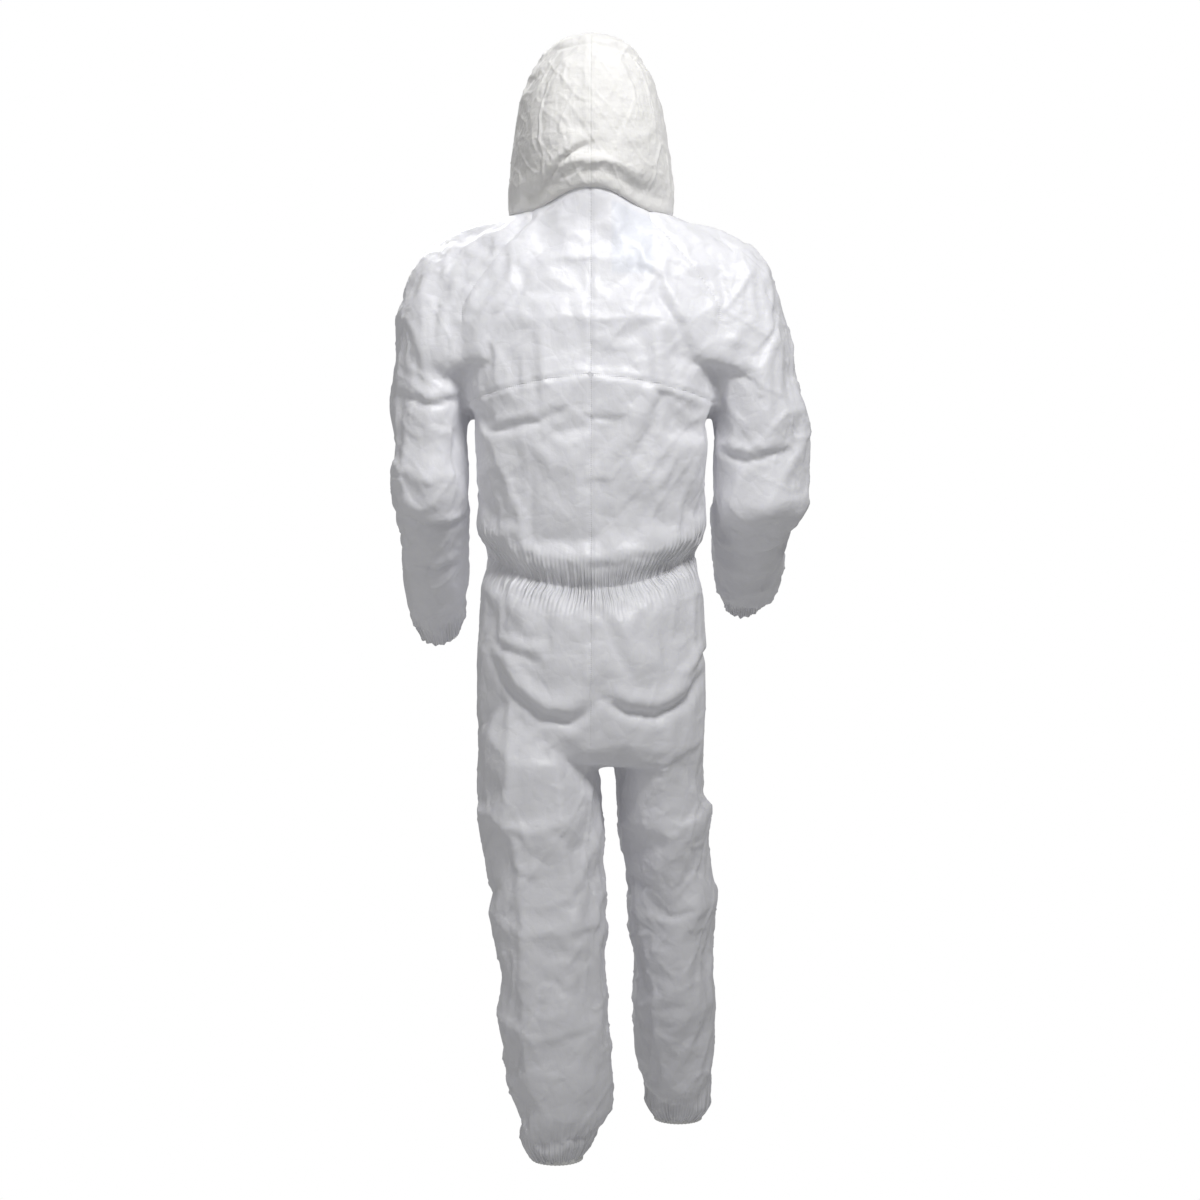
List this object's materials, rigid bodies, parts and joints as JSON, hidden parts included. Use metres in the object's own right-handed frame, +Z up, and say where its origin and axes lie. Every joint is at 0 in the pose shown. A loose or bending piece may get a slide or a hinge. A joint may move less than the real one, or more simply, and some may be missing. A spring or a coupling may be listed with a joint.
{
  "type": "chemical protective suit",
  "caption": "Hooded white protective coverall with elastic at face, waist, cuffs and ankles, and a front zip under a storm flap; shown as worn, in mid stride.",
  "frame": {"origin": "middle of the neck seam, where the wearer's shoulders carry the suit", "axes": "+Z up towards the hood, -Y towards the wearer's front and the zip, +X towards the wearer's left"},
  "size_m": [0.6559, 0.4306, 1.764],
  "materials": {
    "body_cloth": "white microporous film laminate, soft sheen",
    "hood_cloth": "warmer off-white nonwoven, matte and finely crinkled",
    "elastic": "gathered cloth over elastic",
    "zip_tape": "woven polyester tape",
    "zip_chain": "white nylon",
    "label": "smooth pale blue satin tag, blank",
    "adhesive_strip": "release film over adhesive"
  },
  "bodies": {
    "torso": {"front_left_panel": "body_cloth", "front_right_panel": "body_cloth", "yoke_left_panel": "body_cloth", "yoke_right_panel": "body_cloth", "lower_back_left_panel": "body_cloth", "lower_back_right_panel": "body_cloth", "seat_left_panel": "body_cloth", "seat_right_panel": "body_cloth", "crotch_gusset": "body_cloth", "neck_band": "body_cloth", "waist_elastic": "elastic", "size_label": "label", "zip_tape_left": "zip_tape", "zip_tape_right": "zip_tape", "zip_teeth_left": "zip_chain", "zip_teeth_right": "zip_chain", "zip_bottom_stop": "zip_chain", "zip_top_stop_left": "zip_chain", "zip_top_stop_right": "zip_chain"},
    "hood": {"hood_left_panel": "hood_cloth", "hood_right_panel": "hood_cloth", "face_elastic": "elastic"},
    "flap": {"storm_flap": "body_cloth", "flap_adhesive_strip": "adhesive_strip"},
    "slider": {"zip_slider": "zip_chain"},
    "pull": {"zip_pull": "zip_chain"},
    "left_upper_arm": {"left_upper_sleeve": "body_cloth"},
    "left_forearm": {"left_forearm_sleeve": "body_cloth", "left_wrist_elastic": "elastic"},
    "left_upper_leg": {"left_thigh": "body_cloth"},
    "left_lower_leg": {"left_shin": "body_cloth", "left_ankle_elastic": "elastic"},
    "right_upper_arm": {"right_upper_sleeve": "body_cloth"},
    "right_forearm": {"right_forearm_sleeve": "body_cloth", "right_wrist_elastic": "elastic"},
    "right_upper_leg": {"right_thigh": "body_cloth"},
    "right_lower_leg": {"right_shin": "body_cloth", "right_ankle_elastic": "elastic"}
  },
  "joints": [
    {"name": "hood_tilt", "type": "hinge", "parent": "torso", "child": "hood", "pos_m": [0, 0.085, 0.004], "axis": [-1, 0, 0], "range_deg": [0, 38]},
    {"name": "flap_open", "type": "hinge", "parent": "torso", "child": "flap", "pos_m": [0.0245, -0.1289, -0.418], "axis": [0, 0, 1], "range_deg": [0, 140]},
    {"name": "zip_run", "type": "slide", "parent": "torso", "child": "slider", "axis": [0, 0, -1], "range_m": [0, 0.72]},
    {"name": "pull_lift", "type": "hinge", "parent": "slider", "child": "pull", "pos_m": [0, -0.132, -0.055], "axis": [-1, 0, 0], "range_deg": [0, 12]},
    {"name": "left_shoulder", "type": "hinge", "parent": "torso", "child": "left_upper_arm", "pos_m": [0, 0, -0.108], "axis": [-1, 0, 0], "range_deg": [-20, 45]},
    {"name": "left_elbow", "type": "hinge", "parent": "left_upper_arm", "child": "left_forearm", "pos_m": [0, 0, -0.448], "axis": [-1, 0, 0], "range_deg": [-35, 55]},
    {"name": "right_shoulder", "type": "hinge", "parent": "torso", "child": "right_upper_arm", "pos_m": [0, 0, -0.108], "axis": [-1, 0, 0], "range_deg": [-20, 45]},
    {"name": "right_elbow", "type": "hinge", "parent": "right_upper_arm", "child": "right_forearm", "pos_m": [0, 0, -0.448], "axis": [-1, 0, 0], "range_deg": [-48, 42]},
    {"name": "left_hip", "type": "hinge", "parent": "torso", "child": "left_upper_leg", "pos_m": [0, 0, -0.688], "axis": [-1, 0, 0], "range_deg": [-12, 45]},
    {"name": "left_knee", "type": "hinge", "parent": "left_upper_leg", "child": "left_lower_leg", "pos_m": [0, 0.063, -1.108], "axis": [1, 0, 0], "range_deg": [0, 60]},
    {"name": "right_hip", "type": "hinge", "parent": "torso", "child": "right_upper_leg", "pos_m": [0, 0, -0.688], "axis": [-1, 0, 0], "range_deg": [-28, 35]},
    {"name": "right_knee", "type": "hinge", "parent": "right_upper_leg", "child": "right_lower_leg", "pos_m": [0, -0.063, -1.108], "axis": [1, 0, 0], "range_deg": [0, 60]}
  ]
}
